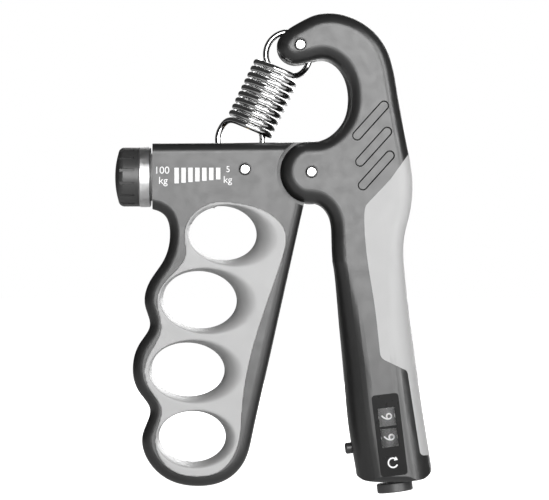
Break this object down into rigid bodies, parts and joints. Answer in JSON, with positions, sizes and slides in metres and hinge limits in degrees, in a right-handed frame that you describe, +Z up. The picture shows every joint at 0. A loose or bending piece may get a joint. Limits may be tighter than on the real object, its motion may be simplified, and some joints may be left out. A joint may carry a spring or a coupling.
{
  "type": "hand grip strengthener",
  "caption": "Spring hand exerciser: palm and finger handles on a pivot, tension spring set by a knob and lead screw, finger openings, and a squeeze counter.",
  "frame": {"origin": "on the palm handle's outer side, half way up the soft palm pad and in the middle of the handles' width", "axes": "+X out of the palm pad towards the palm, +Z up the handles to the hook, the counter and scale face -Y"},
  "size_m": [0.1062, 0.024, 0.1609],
  "materials": {
    "body_plastic": "satin grey moulded polypropylene",
    "soft_pad": "light grey overmoulded soft rubber",
    "knob_plastic": "satin black moulded plastic",
    "chrome": "bright plated spring steel",
    "steel": "plain turned steel",
    "brass": "plain turned brass",
    "acetal": "natural acetal",
    "counter_black": "gloss black",
    "clear_window": "clear moulded window",
    "digit_wheel": "black wheels with white digits"
  },
  "bodies": {
    "palm_handle": {"palm_handle": "body_plastic", "palm_pad": "soft_pad", "pivot_pin": "chrome", "pivot_washers": "acetal", "counter_housing": "acetal", "counter_panel": "counter_black", "counter_window": "clear_window", "counter_end_cap": "knob_plastic", "carry_shaft": "steel", "detent_spring": "steel", "plunger_spring": "steel"},
    "finger_handle": {"finger_handle": "body_plastic", "finger_pad": "soft_pad", "pivot_bush": "brass", "screw_retaining_pin": "chrome"},
    "adjuster": {"adjuster_knob": "knob_plastic", "knob_collar": "chrome", "lead_screw": "steel", "thrust_washer": "acetal"},
    "slider": {"slider_nut": "brass", "slider_pin": "steel"},
    "hook_pin": {"hook_pin": "chrome"},
    "spring_top": {"spring_upper_hook": "chrome"},
    "spring_middle": {"spring_coil": "chrome"},
    "spring_bottom": {"spring_lower_hook": "chrome"},
    "counter_plunger": {"counter_plunger": "knob_plastic", "feed_pawl": "acetal"},
    "units_wheel": {"units_wheel": "digit_wheel"},
    "tens_wheel": {"tens_wheel": "digit_wheel"},
    "carry_pinion": {"carry_pinion": "acetal"},
    "reset": {"reset_knob": "knob_plastic", "reset_shaft": "steel"}
  },
  "joints": [
    {"name": "squeeze", "type": "hinge", "parent": "palm_handle", "child": "finger_handle", "pos_m": [-0.0317, 0, 0.0394], "axis": [0, -1, 0], "range_deg": [0, 20.5], "stiffness_Nm_per_rad": 5.2, "springref_deg": -20.05},
    {"name": "adjust_knob", "type": "hinge", "parent": "finger_handle", "child": "adjuster", "pos_m": [-0.0917, 0, 0.0379], "axis": [1, 0, 0], "range_deg": [0, 2340]},
    {"name": "slider_travel", "type": "slide", "parent": "finger_handle", "child": "slider", "axis": [-1, 0, 0], "range_m": [0, 0.01301]},
    {"name": "spring_swing_adjust", "type": "hinge", "parent": "palm_handle", "child": "hook_pin", "pos_m": [-0.0354, 0, 0.0819], "axis": [0, 1, 0], "range_deg": [0, 12.78]},
    {"name": "spring_swing_squeeze", "type": "hinge", "parent": "hook_pin", "child": "spring_top", "pos_m": [-0.0354, 0, 0.0819], "axis": [0, -1, 0], "range_deg": [0, 4.92]},
    {"name": "spring_stretch_squeeze", "type": "slide", "parent": "spring_top", "child": "spring_middle", "axis": [-0.5225, 0, -0.8526], "range_m": [0, 0.00858], "deforming": ["spring_upper_hook", "spring_coil", "spring_lower_hook"]},
    {"name": "spring_stretch_adjust", "type": "slide", "parent": "spring_middle", "child": "spring_bottom", "axis": [-0.5225, 0, -0.8526], "range_m": [0, 0.00804]},
    {"name": "counter_press", "type": "slide", "parent": "palm_handle", "child": "counter_plunger", "axis": [0.9925, 0, 0.1219], "range_m": [0, 0.00221], "deforming": ["plunger_spring"]},
    {"name": "units_turn", "type": "hinge", "parent": "palm_handle", "child": "units_wheel", "pos_m": [-0.00572, -0.002, -0.04911], "axis": [-0.1219, 0, 0.9925], "continuous": true},
    {"name": "tens_turn", "type": "hinge", "parent": "palm_handle", "child": "tens_wheel", "pos_m": [-0.00657, -0.002, -0.04216], "axis": [-0.1219, 0, 0.9925], "continuous": true},
    {"name": "carry_turn", "type": "hinge", "parent": "palm_handle", "child": "carry_pinion", "pos_m": [-0.00609, 0.0073, -0.04603], "axis": [-0.1219, 0, 0.9925], "continuous": true},
    {"name": "reset_turn", "type": "hinge", "parent": "palm_handle", "child": "reset", "pos_m": [-0.0039, -0.002, -0.0639], "axis": [-0.1219, 0, 0.9925], "continuous": true}
  ],
  "couplings": [
    {"joint": "slider_travel", "follows": "adjust_knob", "m_per_rad": 0.00031831},
    {"joint": "spring_swing_adjust", "follows": "adjust_knob", "ratio": 0.0054582},
    {"joint": "spring_stretch_adjust", "follows": "adjust_knob", "m_per_rad": 0.00019669},
    {"joint": "spring_swing_squeeze", "follows": "squeeze", "ratio": 0.23954},
    {"joint": "spring_stretch_squeeze", "follows": "squeeze", "m_per_rad": 0.023963},
    {"joint": "counter_press", "follows": "squeeze", "m_per_rad": 0.0061488},
    {"joint": "tens_turn", "follows": "units_turn", "ratio": 0.1},
    {"joint": "carry_turn", "follows": "units_turn", "ratio": -0.25}
  ]
}
